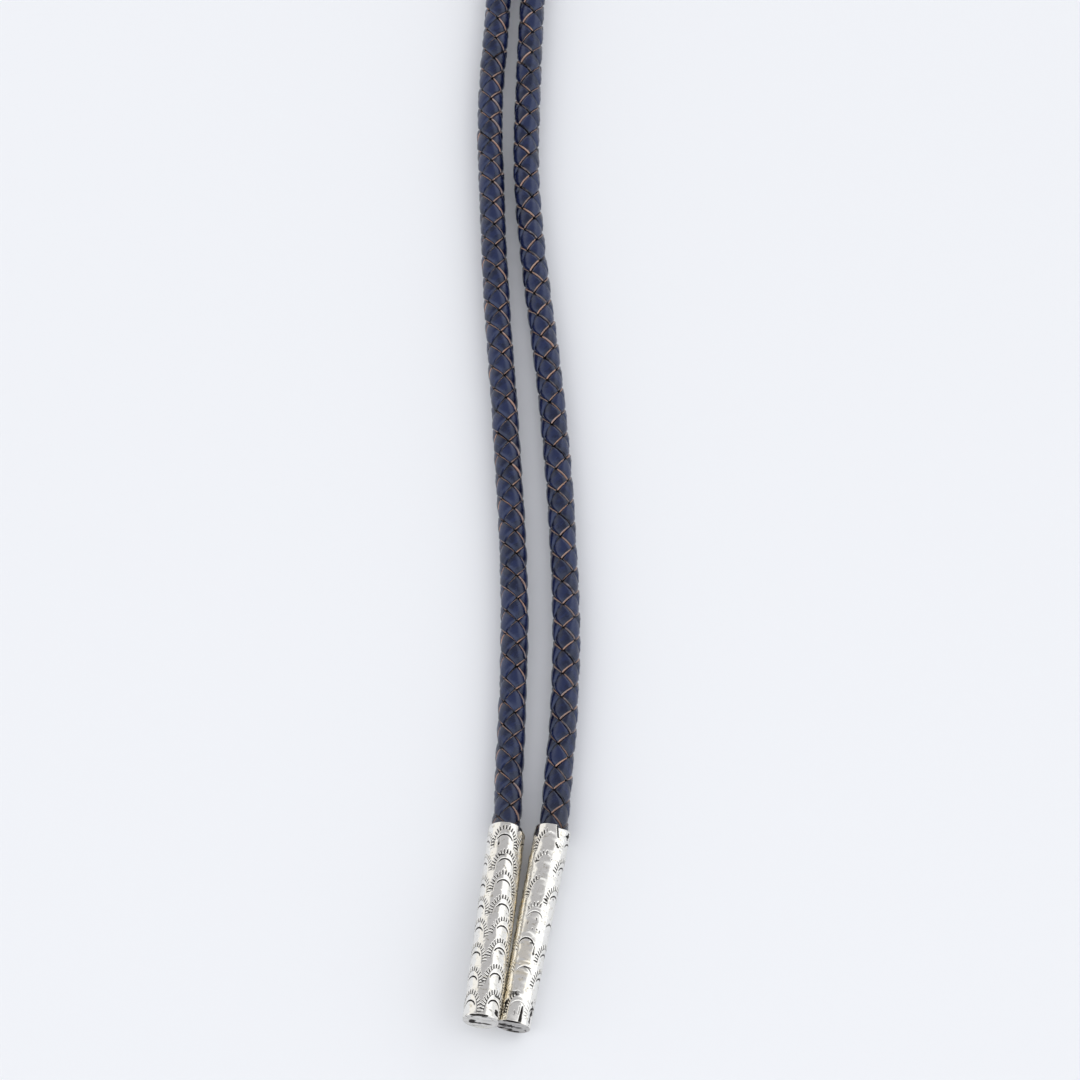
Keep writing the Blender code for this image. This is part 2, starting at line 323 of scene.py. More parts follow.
# Stops along a strand, in crossings from the one where it lies over, and the radius of its face
seenStops = np.array([-0.42, -0.3, -0.1, 0.1, 0.3, 0.42, 0.5, 0.58, 0.85, 1.15, 1.42, 1.5])
hiddenStops = np.array([-0.42, -0.15, 0.15, 0.42, 0.5, 0.58, 1.0, 1.42, 1.5])
weaveStops = np.array([0.0, 0.1, 0.3, 0.42, 0.5, 0.58, 0.85, 1.0])
weaveRadii = np.array([3.17, 3.16, 3.1, 2.98, 2.54, 2.14, 2.06, 2.06]) * mm

# How light each strand's cut edges are, from black to a bright tan, partly their own tone and partly painted
# light
# and shade: for each hand and strand, the edge of the lesser and of the greater turn, on the left and right
# runs.
litAndShadedEdgeTones = {
    1: [((0.42, 0.72), (0.74, 0.5)), ((0.5, 0.62), (0.66, 0.56)), ((0.36, 0.78), (0.8, 0.44))],
    -1: [((0.46, 0.56), (0.58, 0.12)), ((0.55, 0.5), (0.52, 0.3)), ((1.0, 0.95), (0.5, 0.78))],
}


# Smooth line through the route: between two points a cubic whose ends head along the line between
# the neighbours, then even steps by the length travelled.
def smoothRoute(route, step):
    points = np.array(route)
    spans = np.linalg.norm(np.diff(points, axis=0), axis=1)
    slopes = np.empty_like(points)
    slopes[0], slopes[-1] = points[1] - points[0], points[-1] - points[-2]
    slopes[1:-1] = points[2:] - points[:-2]
    level = points[1:] == points[:-1]
    slopes[1:][level] = 0.0
    slopes[:-1][level] = 0.0
    slopes /= np.linalg.norm(slopes, axis=1)[:, None]
    t = np.linspace(0.0, 1.0, 40, endpoint=False)[None, :, None]  # 40 steps to a span
    reach = spans[:, None, None]
    fine = (points[:-1, None] * (2 * t**3 - 3 * t**2 + 1)
            + slopes[:-1, None] * reach * (t**3 - 2 * t**2 + t)
            + points[1:, None] * (3 * t**2 - 2 * t**3)
            + slopes[1:, None] * reach * (t**3 - t**2)).reshape(-1, 3)
    fine = np.vstack([fine, points[-1:]])
    along = np.concatenate([[0.0], np.cumsum(np.linalg.norm(np.diff(fine, axis=0), axis=1))])
    stops = np.linspace(0.0, along[-1], round(along[-1] / step) + 1)
    return stops, np.stack([np.interp(stops, along, fine[:, axis]) for axis in range(3)], axis=1)


lineStops, linePoints = smoothRoute(cordRoute, braid["step"])
cordLength = lineStops[-1]
heading = np.gradient(linePoints, lineStops, axis=0)
heading /= np.linalg.norm(heading, axis=1)[:, None]
lineSide = np.cross(heading, (0.0, 0.0, 1.0))
lineSide /= np.linalg.norm(lineSide, axis=1)[:, None]
lineUp = np.cross(lineSide, heading)


# Point on the cord: the line at distance s, plus radius times (up cos turn + side sin turn).
def onCord(s, turn, radius):
    lineTable = np.hstack([linePoints, lineUp, lineSide])
    base = np.stack([np.interp(s, lineStops, column) for column in lineTable.T], axis=-1)
    c, n = (radius * np.cos(turn))[..., None], (radius * np.sin(turn))[..., None]
    return base[..., 0:3] + c * base[..., 3:6] + n * base[..., 6:9]


# Where each seen run begins and ends, by distance along the line
middle = len(lineStops) // 2
leftY, rightY = linePoints[:middle, 1], -linePoints[middle:, 1]
leftStart = np.interp(braid["leftCross"], leftY, lineStops[:middle])
leftEnd = np.interp(braid["seenTop"], leftY, lineStops[:middle])
rightEnd = np.interp(-braid["seenTop"], rightY, lineStops[middle:])
rightStart = np.interp(-braid["rightCross"], rightY, lineStops[middle:])


# Repeats passed along a seen run: the running sum of each small step over the repeat there.
def runCounts(start, end, repeat, growth):
    stops = np.linspace(start, end, 61)
    height = np.interp(stops, lineStops, linePoints[:, 1]) / mm
    here = repeat * np.interp(height, *zip(*growth))
    steps = np.diff(stops) * 2 / (here[1:] + here[:-1])
    return stops, np.concatenate([[0.0], np.cumsum(steps)])


# How many repeats lie before each distance: a whole number where a right-handed strand lies over
leftRunStops, leftRunCounts = runCounts(leftStart, leftEnd, braid["leftRepeat"], braid["leftGrowth"])
rightRunStops, rightRunCounts = runCounts(
    rightEnd, rightStart, braid["rightRepeat"], braid["rightGrowth"])
hiddenRepeat = 0.5 * (braid["leftRepeat"] + braid["rightRepeat"]) * braid["leftGrowth"][-1][1]
wholeCount = round(leftRunCounts[-1] + rightRunCounts[-1] + (rightEnd - leftEnd) / hiddenRepeat)
repeatStops = np.concatenate([[0.0], leftRunStops, rightRunStops, [cordLength]])
repeatCounts = np.concatenate([
    [-leftStart / braid["leftRepeat"]], leftRunCounts, wholeCount - rightRunCounts[-1] + rightRunCounts,
    [wholeCount + (cordLength - rightStart) / braid["rightRepeat"]],
])

# The braid's twist by distance: each run's own, and an even change between them round the neck
lineHeight = linePoints[:, 1] / mm
leftTwist, rightTwist = (np.interp(lineHeight, *zip(*braid[key])) for key in ("leftTwist", "rightTwist"))
lineTwist = np.radians(np.where(np.arange(len(lineStops)) < middle, leftTwist, rightTwist))
hidden = (lineStops > leftEnd) & (lineStops < rightEnd)
lineTwist[hidden] = np.interp(lineStops[hidden], lineStops[~hidden], lineTwist[~hidden])
leftMouth = np.interp(braid["mouths"][0], leftY, lineStops[:middle])
rightMouth = np.interp(braid["mouths"][1], rightY, lineStops[middle:])


# One flat strand wound round the cord: turn = start + hand * 60 degrees for each crossing, and the
# section is carried across it at right angles. Over at even crossings, under at odd ones.
def strandGrid(hand, number, chance):
    shift = -number if hand > 0 else 0.5 - number
    low, high = np.interp([braid["ends"], cordLength - braid["ends"]], repeatStops, repeatCounts)
    first, last = math.ceil(low - shift + 0.5), math.floor(high - shift - 0.8)
    over = np.arange(first, last + 1)
    place = np.interp(over + shift, repeatCounts, repeatStops)
    seen = (place < leftEnd + braid["seenPast"]) | (place > rightEnd - braid["seenPast"])
    p = np.sort(np.concatenate([
        (2 * over[seen][:, None] + seenStops).ravel(),
        (2 * over[~seen][:, None] + hiddenStops).ravel(),
    ]))
    s = np.interp(p / 2 + shift, repeatCounts, repeatStops)
    turn = math.radians(braid["turn"]) + math.radians(braid["perCrossing"]) * (p if hand > 0 else 1 - p)
    turn = turn + np.interp(s, lineStops, lineTwist)
    crossing = np.round(p / 2).astype(int) - first
    away = np.abs(p - 2 * np.round(p / 2))
    lying = np.clip(1 - (away / braid["lying"]) ** 4, 0, 1)  # 1 where the strand lies over
    count = crossing.max() + 1
    most = braid["tiltMost"]
    sway = chance.normal(0, braid["sway"], count)[crossing] * lying
    lift = np.clip(chance.normal(0, braid["lift"], count), *braid["liftMost"])[crossing] * lying
    tilt = np.clip(chance.normal(0, braid["tilt"], count), -most, most)[crossing] * lying
    u = strandSection[None, :, 0] + sway[:, None]
    slant = np.arctan(np.abs(np.gradient(turn, s)) * braid["midRadius"])[:, None]
    radius = (np.interp(away, weaveStops, weaveRadii) + lift)[:, None] + strandSection[None, :, 1]
    radius = radius + tilt[:, None] * strandSection[None, :, 0] / (2 * mm)
    radius = np.minimum(radius, braid["outRadius"])
    theta = turn[:, None] + u * np.cos(slant) / braid["midRadius"]
    along = s[:, None] - hand * u * np.sin(slant)
    points = onCord(np.clip(along, 0, cordLength), theta, radius)
    points[..., 2] = np.maximum(points[..., 2], 0.0)  # pressed flat where it lies on the table
    tone = chance.uniform(0, 1, count)[crossing]
    # Cut edge tones on each run: partly the leather's own, partly painted light and shade
    begins, spread = braid["toRight"]
    onRight = np.clip((s / cordLength - begins) / spread, 0, 1)[:, None]
    (leftLess, leftMore), (rightLess, rightMore) = litAndShadedEdgeTones[hand][number]
    less = leftLess * (1 - onRight) + rightLess * onRight
    more = leftMore * (1 - onRight) + rightMore * onRight
    edge = np.where(strandSection[None, :, 0] < 0, less, more)
    edge = np.clip(edge + chance.normal(0, braid["toneSpread"], count)[crossing][:, None], 0, 1)
    dirt = np.clip(1 - np.minimum(s - leftMouth, rightMouth - s) / braid["dirtReach"], 0, 1)
    # How far the strand sinks into the hollows, which sets their painted shade
    sunkFrom, sunkDepth = braid["sunk"]
    return points, {
        "edgeToneAndLighting": edge, "dirt": dirt[:, None], "tone": tone[:, None], "cutSide": cutSide,
        "sunk": np.clip((sunkFrom - radius) / sunkDepth, 0, 1),
        "alongStrand": s[:, None] / mm, "acrossStrand": strandSection[:, 0] / mm,
    }


strandFacts = ("cutSide", "sunk", "tone", "edgeToneAndLighting", "dirt", "alongStrand", "acrossStrand")


# Three strands of each hand, and the round core inside them: rings of the core's radius on the line.
def braidedCord(material):
    chance = np.random.default_rng(braid["seed"])
    points, faces, sharp, total = [], [], [], 0
    facts = {key: [] for key in strandFacts}
    for hand in (1, -1):
        for number in range(3):
            grid, values = strandGrid(hand, number, chance)
            rows = len(grid)
            points.append(grid.reshape(-1, 3))
            for key in strandFacts:
                facts[key].append(np.broadcast_to(values[key], grid.shape[:2]).ravel())
            faces += closedTube(rows, sectionCount, total)
            sharp.append(np.tile([False, False, True, False, False, True, False, False], rows))
            total += rows * sectionCount
    rings = braid["coreRings"]
    s = np.linspace(braid["coreEnds"], cordLength - braid["coreEnds"], rings)[:, None]
    turns = np.linspace(0, math.tau, sectionCount, endpoint=False)[None, :]
    core = onCord(s + 0 * turns, turns + 0 * s, np.full((rings, sectionCount), braid["coreRadius"]))
    points.append(core.reshape(-1, 3))
    for key in strandFacts:
        # the core counts as sunk all over, so it takes the painted shade of the hollows
        facts[key].append(np.full(rings * sectionCount, 1.0 if key == "sunk" else 0.0))
    faces += closedTube(rings, sectionCount, total)
    sharp.append(np.zeros(rings * sectionCount, bool))
    return makePiece(
        "braidedCord", np.vstack(points), faces, material,
        {key: np.concatenate(values) for key, values in facts.items()}, np.concatenate(sharp))


leather = {
    "navy": (0.0016, 0.003, 0.022),
    # worn navy, which also paints a highlight down the middle of each strand
    "wornAndSheenNavy": (0.0075, 0.013, 0.056),
    # scuffs along the strands, partly painted glints of the grain
    "scuffedAndGlinting": (0.055, 0.066, 0.11),
    "cutBright": (0.52, 0.315, 0.225),
    "cutDull": (0.3, 0.235, 0.215),
    "cutBlack": (0.014, 0.01, 0.01),
    # painted shade in the hollows where a strand dives under, and on the core
    "hollowShade": (0.008, 0.006, 0.006),
    "dirt": (0.018, 0.016, 0.017),
    "edgeShade": (0.0022, 0.003, 0.01),  # painted shade on the face beside its cut edges
    "roughness": 0.16,
    "shine": 0.66,
    "shineTint": (0.7, 0.8, 1.0, 1.0),
    "grain": (1500.0, 5.0, 0.66),  # scale, detail and roughness of each noise
    "blotch": (850.0, 4.0, 0.6),
    "stretchLines": ((0.35, 5.0, 1.0), 1.6, 3.0),  # pattern size along and across a strand, then noise
    "flecks": ((1.5, 4.2, 1.0), 1.0, 3.0),
    "fleckShare": (0.58, 0.74, 0.0, 0.34),  # between which numbers, and from and to which share
    "crownWearAndSheenShare": (1.9, 0.3, 0.0, 0.34),  # the middle of a strand wears first and is painted lighter as a highlight
    "wearAndSheenShare": (0.98, 1.42),
    "edgeShadeShare": (1.9, 2.3, 0.0, 0.85),
    "cutShare": (0.24, 0.42),
    "hollowShadeShare": (0.46, 0.62),
    "wearOf": (0.55, 0.7),  # how much a strand's own tone and the stretch lines count
    "grainOnEdge": 0.9,
    "cutTone": (0.9, -0.42),  # how the blotches lighten and darken the cut edges
    "bump": (1.0, 0.04),  # strength, depth in mm
    "lineRelief": 0.6,
}

leatherMaterial, tree, shader = newMaterial(
    "navyLeather", Roughness=leather["roughness"], Specular_IOR_Level=leather["shine"],
    Specular_Tint=leather["shineTint"])
grain = noise(tree, ownPlace(tree), *leather["grain"])
blotch = noise(tree, ownPlace(tree), *leather["blotch"])
fact = {key: readFact(tree, key) for key in strandFacts}
# Stretch lines and flecks run along each strand
stretch = addNode(tree, "ShaderNodeCombineXYZ", None, {
    "X": fact["alongStrand"], "Y": fact["acrossStrand"]}).outputs["Vector"]
size, *kind = leather["stretchLines"]
stretchLines = noise(tree, scaled(tree, stretch, size), *kind)
size, *kind = leather["flecks"]
flecks = noise(tree, scaled(tree, stretch, size), *kind)
# Distance from a strand's middle in mm, made ragged by the grain
fromMiddle = calculate(tree, "MULTIPLY_ADD", grain, leather["grainOnEdge"],
                       calculate(tree, "ABSOLUTE", fact["acrossStrand"]))
toneCounts, linesCount = leather["wearOf"]
# Wear with a painted highlight: the strand's own tone, the blotches, a lighter middle and the stretch lines
wearAndSheen = calculate(tree, "ADD", calculate(tree, "MULTIPLY", fact["tone"], toneCounts), blotch)
wearAndSheen = calculate(tree, "ADD", wearAndSheen, smoothBetween(tree, fromMiddle, *leather["crownWearAndSheenShare"]))
wearAndSheen = calculate(tree, "MULTIPLY_ADD", stretchLines, linesCount, wearAndSheen)
face = layOver(tree, smoothBetween(tree, wearAndSheen, *leather["wearAndSheenShare"]), leather["navy"], leather["wornAndSheenNavy"])
# Light flecks along the strands: partly scuffs, partly painted glints
face = layOver(tree, smoothBetween(tree, flecks, *leather["fleckShare"]), face, leather["scuffedAndGlinting"])
# Painted shade on the face beside the cut edges
face = layOver(tree, smoothBetween(tree, fromMiddle, *leather["edgeShadeShare"]), face, leather["edgeShade"])
# The cut edges' colour, partly painted light and shade through the edge tones of each run
cutTone = calculate(tree, "MULTIPLY_ADD", blotch, *leather["cutTone"])
cutTone = calculate(tree, "ADD", cutTone, fact["edgeToneAndLighting"])
cutColour = addRamp(tree, cutTone, [
    (0.1, leather["cutBlack"]), (0.36, leather["cutDull"]), (0.92, leather["cutBright"])])
skin = layOver(tree, smoothBetween(tree, fact["cutSide"], *leather["cutShare"]), face, cutColour)
# Painted shade in the hollows where a strand dives under, and all over the core
skin = layOver(tree, smoothBetween(tree, fact["sunk"], *leather["hollowShadeShare"]), skin, leather["hollowShade"])
skin = layOver(tree, calculate(tree, "MULTIPLY", fact["dirt"], blotch), skin, leather["dirt"])
tree.links.new(skin, shader.inputs["Base Color"])
relief = calculate(tree, "MULTIPLY_ADD", stretchLines, leather["lineRelief"], grain)
addBump(tree, shader, relief, *leather["bump"])

braidedPiece = braidedCord(leatherMaterial)
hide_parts("cord")
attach(braidedPiece, "root")
print("braided cord:", len(braidedPiece.data.polygons), "faces,", round(cordLength, 4), "m")

tipShape = {
    "length": 45.6, "radius": 3.8, "bore": 3.3, "boreDepth": 44.8,  # mm
    "shoulder": 0.35, "endRound": 0.4, "lip": 0.15, "gap": 0.3, "pits": 90,
    "columns": 240, "rows": 376,
    "stampDepth": 0.13, "crescentDepth": 0.15, "dishDepth": 0.05, "spotDepth": 0.07,
    # radius and depth of each ring of the groove round the end plate, and how deep the plate lies
    "endGroove": ((3.1, 0.02), (3.0, 0.1), (2.9, 0.16), (2.75, 0.12)), "plateSunk": 0.08,
    # slowest and fastest waves of the ragged edges, the dents and the ripples
    "raggedPitch": (2.0, 9.0), "dentPitch": (0.2, 2.0), "ripplePitch": (1.0, 5.0),
    "raggedEdge": 0.03, "flareReach": 16.0,
    # small nicks: share of the gap side's turn and spread in degrees, least and most size and strength
    "nicks": (-0.6, 55, (0.05, 0.15), (0.2, 0.8)), "nickTall": 1.6,
    "notchEdge": (0.14, 0.4), "slitEdge": (0.1, 0.4),  # softness across and along, mm
    "notchProud": (0.1, 1.3, 3.0),  # rise, share at the notch, and reach in mm
    "ridgeFade": (28, 26),  # where the seam's ridge has half died out, and over how much
    "opened": (0.4, 0.6),  # how the mouth opens at the top and at the sides
    "gapReflection": (1.15, 0.75, 0.3),  # painted brown reflection of the other tip: strength at the gap side, spread in radians, how ragged
    "slantFrom": (40, 5),  # the end's slant begins here, and over how much
    "stainMore": 1.15, "endEdge": (0.4, 0.6),  # how ragged and how soft the marks on the end are
}
stampShape = {
    "arch": (2.8, 4.6),  # half width and height of the fan's arch, mm
    "archDrop": 1.0,  # its foot below the crescent's middle
    "tick": (0.7, 0.15, 0.5),  # spacing, half width and half length of the ticks
    "crescent": (1.75, 0.19),  # radius and half thickness
    "crescentTaper": 1.2, "crescentEnd": 1.3,  # radians from its middle to its tips
    "edge": 0.12,  # how softly a struck line ends, mm
    "tickEdge": 0.16,
    "feet": (0.07, 0.65),  # half thickness and strength of the line under the ticks
    "fan": (-94, 94),  # degrees that a whole fan covers
    "dish": (0.7, 1.3, 0.5, 3.4),  # softness in mm, radians each way and their softness, half width
    "taper": (1.15, 0.55),  # a tick's width at its foot, and how much of it is lost at its tip
    "fanEdge": 0.06,  # radians
    "spotEdge": (0.35, 0.5),  # how ragged and how soft a spot is
}
leftTip = {
    "mouth": (-2.3, -130.2), "lean": 6.3,
    # turn in degrees from the top to the right, t in mm from the mouth to the crescent's top,
    # lean of the stamp in degrees, and how black the fan and the crescent are
    "stamps": [
        (4.5, 3.1, 0, 0.9, 0.9), (17.5, 8.9, 0, 0.95, 0.9), (21.5, 14.0, 0, 0.9, 0.9),
        (30, 19.7, 2, 0.9, 0.95), (40.5, 24.7, 8, 0.8, 1.0), (42, 29.9, 2, 1.0, 1.0),
        (39, 36.0, 4, 0.9, 1.0), (44.5, 41.9, 4, 0.95, 1.0),
        (-77, 3.8, 0, 0.6, 0.6), (-74, 9.3, 0, 0.6, 0.6), (-70, 14.6, 0, 0.7, 0.8),
        (-63, 19.9, 0, 0.8, 0.95), (-56, 25.3, 0, 0.8, 0.95), (-52, 31.2, 0, 0.8, 0.95),
        (-52, 36.9, 0, 0.85, 0.9), (-47, 42.3, 0, 0.85, 0.95),
        (92, 3.2, 0, 0.9, 0.6), (104, 8.9, 0, 0.5, 0.5), (110, 14.3, 0, 0.35, 0.5),
        (119, 19.7, 0, 0.35, 0.5), (127, 25.0, 0, 0.4, 0.6), (130, 30.4, 0, 0.45, 0.6),
        (129, 36.2, 0, 0.5, 0.6), (133, 42.0, 0, 0.6, 0.7),
        (-168, 3.6, 0, 0.8, 0.8), (-160, 9.2, 0, 0.8, 0.9), (-157, 14.5, 0, 0.9, 0.8),
        (-151, 20.0, 0, 0.8, 0.8), (-144, 25.2, 0, 0.7, 0.9), (-141, 30.9, 0, 0.9, 0.8),
        (-141, 36.5, 0, 0.8, 0.9), (-138, 42.2, 0, 0.8, 0.8),
    ],
    # turn, t, half width and half height in mm, blackness: struck spots and stains
    "spots": [
        (-14, 5.2, 0.14, 0.95, 1.0), (42, 30.9, 0.8, 0.35, 0.55), (58, 44.2, 0.6, 0.7, 0.75),
        (50, 36.9, 0.25, 0.7, 0.9), (2, 8.0, 0.9, 0.25, 0.6), (44, 21.6, 0.18, 0.3, 0.5),
        (33, 44.1, 0.5, 0.12, 0.35), (52, 40.9, 1.0, 0.22, 0.6),
    ],
    "seam": None,
    "nicked": 0.6,
    "dented": (0.01, 0.006),  # depths of the slow dents and of the ripples, mm
    "flare": 0.0,
    # turn, spread in radians, how proud it stands near the mouth and near the end
    "seamRidge": (96, 0.85, 0.5, 0.16),
    "gapSide": 100,  # the side towards the other tip, where a brown reflection of it is painted
    # brown stains, as the spots
    "browned": [(62, 24, 0.4, 9.0, 0.5), (56, 43, 0.6, 2.0, 0.5)],
    # on the end plate: place right and up from its middle, half width and height, blackness
    "endMarks": [
        (0.0, -0.9, 2.4, 0.32, 0.8), (-1.8, -0.4, 0.8, 0.8, 1.0), (1.5, -1.2, 0.9, 0.25, 0.6),
        (0.1, 3.5, 1.9, 0.6, 0.8), (1.6, 2.55, 1.3, 0.25, 0.6), (-0.4, 1.2, 1.5, 0.16, 0.35),
        (-2.2, 2.1, 0.8, 0.14, 0.55), (-0.8, -2.6, 1.1, 0.14, 0.45),
    ],
    "endDull": 0.4,
    "endSlant": (0.3, 0.35),  # mm further out, and how much more at the top than in the middle
    "slit": None,
}
rightTip = {
    "mouth": (7.8, -130.3), "lean": 10.9,
    "stamps": [
        (-3, 3.4, 0, 1.0, 0.0, -94, -14), (0, 8.7, 0, 0.7, 0.0, -60, 8), (2, 14.3, 0, 1.0, 0.05, -94, -14),
        (4, 20.6, 0, 0.7, 0.55, -42, 16), (-8, 26.7, 6, 0.0, 1.0), (5, 33.2, 8, 0.0, 0.5, -20, 20),
        (10, 40.9, -6, 1.0, 0.35, -94, -4),
        (79, 8.7, 0, 1.0, 0.7, -80, 60), (69, 15.6, 0, 1.0, 0.8, -94, 30), (75, 22.0, 0, 0.15, 0.7),
        (78, 28.8, 0, 1.0, 0.8, -94, 60), (82, 34.2, 0, 1.0, 0.9, -94, 60), (80, 41.0, 0, 0.5, 0.9),
        (84, 3.0, 0, 0.3, 0.8),
        (-93, 3.4, 0, 0.5, 0.5), (-91, 9.0, 0, 0.45, 0.5), (-90, 14.8, 0, 0.4, 0.5),
        (-88, 20.8, 0, 0.4, 0.5), (-92, 26.6, 0, 0.4, 0.5), (-90, 33.0, 0, 0.45, 0.5),
        (-84, 40.6, 0, 0.5, 0.6),
        (170, 3.2, 0, 0.8, 0.8), (168, 9.1, 0, 0.9, 0.7), (163, 15.2, 0, 0.8, 0.9),
        (167, 21.3, 0, 0.8, 0.8), (168, 27.6, 0, 0.7, 0.8), (172, 33.6, 0, 0.8, 0.9),
        (172, 40.8, 0, 0.8, 0.8),
    ],
    "spots": [
        (26, 4.6, 0.3, 0.22, 1.0), (31, 5.0, 0.3, 0.2, 1.0), (22, 4.2, 0.12, 0.3, 0.9),
        (37, 4.6, 0.22, 0.12, 0.8), (64, 1.5, 0.55, 0.7, 0.95), (63, 43.4, 0.22, 1.9, 0.75),
        (22, 29.6, 0.17, 1.3, 0.6), (12, 27.7, 0.5, 0.22, 0.6), (-28, 8.9, 0.5, 0.35, 0.6),
        (-14, 39.3, 1.1, 0.5, 0.5), (-2, 38.9, 0.9, 0.35, 0.4), (-32, 41.6, 0.3, 1.2, 0.7),
        (2, 43.3, 0.1, 0.8, 0.5), (14, 42.6, 0.12, 0.9, 0.4),
        (18, 8.2, 0.12, 0.12, 0.7), (29, 13.2, 0.12, 0.2, 0.8), (29, 17.4, 0.25, 0.35, 0.7),
        (28, 25.0, 0.1, 0.4, 0.7), (10, 22.2, 0.12, 0.3, 0.7), (14, 33.2, 0.8, 0.1, 0.8),
        (68, 42.0, 0.5, 1.1, 0.6), (-4, 32.2, 1.3, 0.3, 0.25), (-2, 34.4, 1.2, 0.4, 0.25),
        (24, 38.2, 0.3, 0.5, 0.3),
    ],
    "seam": {"turn": 16.0, "drift": 3.6, "depth": 2.8, "halfWidth": 0.2, "sunk": 0.42, "setBack": 0.6},
    "nicked": 1.0,
    "dented": (0.014, 0.011),
    "flare": 0.17,
    "seamRidge": None,
    "gapSide": -95,
    "browned": [
        (-2, 32.4, 1.6, 0.55, 0.9), (-4, 34.6, 1.5, 0.6, 0.8), (-8, 29.6, 1.3, 1.9, 0.55),
        (8, 31.2, 0.7, 0.8, 0.5), (-22, 24.0, 0.7, 1.4, 0.35), (22, 37.5, 0.5, 1.4, 0.6),
        (-30, 39.0, 0.8, 2.2, 0.6), (0, 36.2, 0.6, 0.4, 0.5), (33, 3.4, 0.5, 0.7, 0.5),
    ],
    "endMarks": [
        (-2.0, 0.4, 1.1, 1.1, 1.0), (-0.4, 0.25, 1.9, 0.65, 0.9), (1.7, -0.3, 1.5, 0.32, 0.8),
        (-1.7, -1.9, 1.3, 0.4, 0.9), (0.3, -2.8, 1.4, 0.28, 0.7), (0.7, 3.5, 1.3, 0.4, 0.9),
        (-1.2, 3.3, 0.9, 0.25, 0.6), (0.4, 1.8, 2.2, 0.2, 0.4), (2.7, -0.9, 0.4, 0.5, 0.6),
    ],
    "endDull": 0.75,
    "endSlant": (-0.2, 0.25),
    "slit": (24.0, 41.7, 0.16, 0.4, 0.2),  # turn, start, half width there and at the end, depth
}


# Length along the fan's arch against its angle, for even ticks: the running sum of the arch's steps.
archAngle = np.radians(np.linspace(-100, 100, 801))
archX = stampShape["arch"][0] * np.sin(archAngle)
archY = -stampShape["arch"][1] * np.cos(archAngle)
archRun = np.concatenate([[0.0], np.cumsum(np.hypot(np.diff(archX), np.diff(archY)))])
archRun -= archRun[len(archRun) // 2]


# 1 inside, 0 outside, with a soft edge: the smooth step of the distance inside.
def softInside(distance, edge):
    share = np.clip(distance / edge + 0.5, 0, 1)
    return share * share * (3 - 2 * share)


# The shorter way round the barrel, in mm, from a turn in degrees.
def wayRound(arc, turn):
    girth = math.tau * tipShape["radius"]
    return (arc - math.radians(turn) * tipShape["radius"] + girth / 2) % girth - girth / 2


# How deep one stamp has struck at each place: a fan of ticks standing on an arch, a thin line at
# their feet, and a crescent under the arch.
def struckBy(arc, t, stamp):
    turn, top, lean, fanStrength, crescentStrength, *part = stamp
    radius, thick = stampShape["crescent"]
    edge = stampShape["edge"]
    x, y = wayRound(arc, turn), t - (top + radius)
    c, s = math.cos(math.radians(lean)), math.sin(math.radians(lean))
    x, y = x * c + y * s, y * c - x * s
    angle = np.arctan2(x, -y)
    half = thick * np.sqrt(np.clip(np.cos(angle * stampShape["crescentTaper"]), 0, 1))
    crescent = softInside(half - np.abs(np.hypot(x, y) - radius), edge)
    crescent = crescent * (np.abs(angle) < stampShape["crescentEnd"])
    wide, high = stampShape["arch"]
    spacing, halfWidth, halfLength = stampShape["tick"]
    px, py = x / wide, (y - stampShape["archDrop"]) / high
    bearing = np.arctan2(px, -py)
    out = (np.hypot(px, py) - 1) * np.hypot(wide * np.sin(bearing), high * np.cos(bearing))
    run = np.interp(bearing, archAngle, archRun)
    miss = np.abs(run / spacing - np.round(run / spacing)) * spacing
    low, high = part or stampShape["fan"]
    inFan = np.minimum(bearing - math.radians(low), math.radians(high) - bearing)
    within = softInside(inFan, stampShape["fanEdge"])
    foot, lost = stampShape["taper"]
    taper = halfWidth * (foot - lost * np.clip((out + halfLength) / (2 * halfLength), 0, 1))
    ticks = softInside(taper - miss, edge) * softInside(halfLength - np.abs(out), stampShape["tickEdge"])
    thin, faint = stampShape["feet"]
    feet = softInside(thin - np.abs(out + halfLength), edge) * within
    soft, reach, reachSoft, halfDish = stampShape["dish"]
    dish = softInside(-halfLength - out, soft) * softInside(reach - np.abs(bearing), reachSoft)
    dish = dish * np.clip(1 - np.abs(x) / halfDish, 0, 1)
    return (np.maximum(ticks * within, faint * feet) * fanStrength, crescent * crescentStrength,
            dish * max(fanStrength, crescentStrength))


# A struck spot or stain: an ellipse with a ragged soft edge.
def spotAt(arc, t, spot, ragged):
    turn, middle, halfWidth, halfHeight, strength = spot
    far = np.hypot(wayRound(arc, turn) / halfWidth, (t - middle) / halfHeight)
    frayed, soft = stampShape["spotEdge"]
    return softInside(1 - far + frayed * ragged, soft) * strength


# Ragged field between -1 and 1 on the tip's skin: a sum of waves in random directions, whole
# numbers of them round the tip so that the seam closes.
def raggedField(turn, t, chance, coarse, fine, count=26):
    total = np.zeros_like(t)
    for waves, pitch, phase in zip(
            chance.integers(-fine, fine, count), chance.uniform(coarse, fine, count),
            chance.uniform(0, math.tau, count)):
        total += np.sin(waves * turn + pitch * t + phase)
    return total / math.sqrt(count)


# The left tip's end rests on the right tip's flank: its rise puts its end two radii and a gap away.
def leftRise():
    length, radius = tipShape["length"], tipShape["radius"]
    lean = [math.radians(tip["lean"]) for tip in (leftTip, rightTip)]
    ends = np.array(leftTip["mouth"]) - length * np.array([math.sin(lean[0]), math.cos(lean[0])])
    across = ends - np.array(rightTip["mouth"])
    apart = abs(across[0] * -math.cos(lean[1]) + across[1] * math.sin(lean[1]))
    height = math.sqrt(max(0.0, (2 * radius + tipShape["gap"]) ** 2 - apart**2))
    return math.asin((height + radius) / math.hypot(length, radius)) - math.atan2(radius, length)


